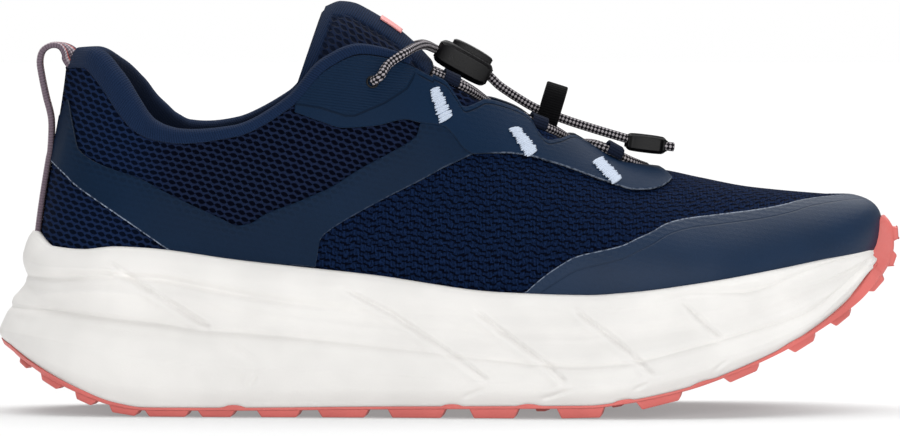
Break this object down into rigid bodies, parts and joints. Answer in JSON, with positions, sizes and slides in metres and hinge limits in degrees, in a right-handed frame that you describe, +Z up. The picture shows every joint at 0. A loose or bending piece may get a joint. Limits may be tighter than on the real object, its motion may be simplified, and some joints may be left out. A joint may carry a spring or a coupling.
{
  "type": "low-top trail sneaker",
  "caption": "Right low-top trail running sneaker with thick foam midsole, lugged rubber outsole, film overlays, padded collar, heel pull loop and quick-pull elastic lace with cord lock.",
  "frame": {"origin": "on the floor under the middle of the shoe's box", "axes": "+X towards the toe, -Y towards the outer side of the right foot, +Z up"},
  "size_m": [0.287, 0.11, 0.1308],
  "materials": {
    "white_foam": "matte",
    "coral_rubber": "matte",
    "grey_foam": "matte",
    "navy_mesh": "matte",
    "navy_jersey": "matte",
    "navy_film": "matte",
    "coral_label": "matte",
    "grey_cord": "matte",
    "navy_webbing": "matte",
    "black_webbing": "matte",
    "black_plastic": "satin",
    "striped_webbing": "matte"
  },
  "bodies": {
    "root": {"midsole": "white_foam", "outsole": "coral_rubber", "insole": "grey_foam", "upper": "navy_mesh", "tongue": "navy_mesh", "collar": "navy_jersey", "quarter_film_lateral": "navy_film", "quarter_film_medial": "navy_film", "eyestay_lateral": "navy_film", "eyestay_medial": "navy_film", "toe_rand": "navy_film", "tongue_label": "coral_label", "lace": "grey_cord", "lace_run_lateral": "grey_cord", "lace_run_medial": "grey_cord", "lace_tail_near": "grey_cord", "lace_tail_far": "grey_cord", "lace_loop_lateral_1": "navy_webbing", "lace_loop_lateral_2": "navy_webbing", "lace_loop_lateral_3": "navy_webbing", "lace_loop_medial_1": "navy_webbing", "lace_loop_medial_2": "navy_webbing", "lace_loop_medial_3": "navy_webbing", "lace_keeper": "black_webbing", "lace_clip": "black_plastic", "toggle": "black_plastic", "toggle_button": "black_plastic", "heel_loop": "striped_webbing"}
  },
  "joints": []
}
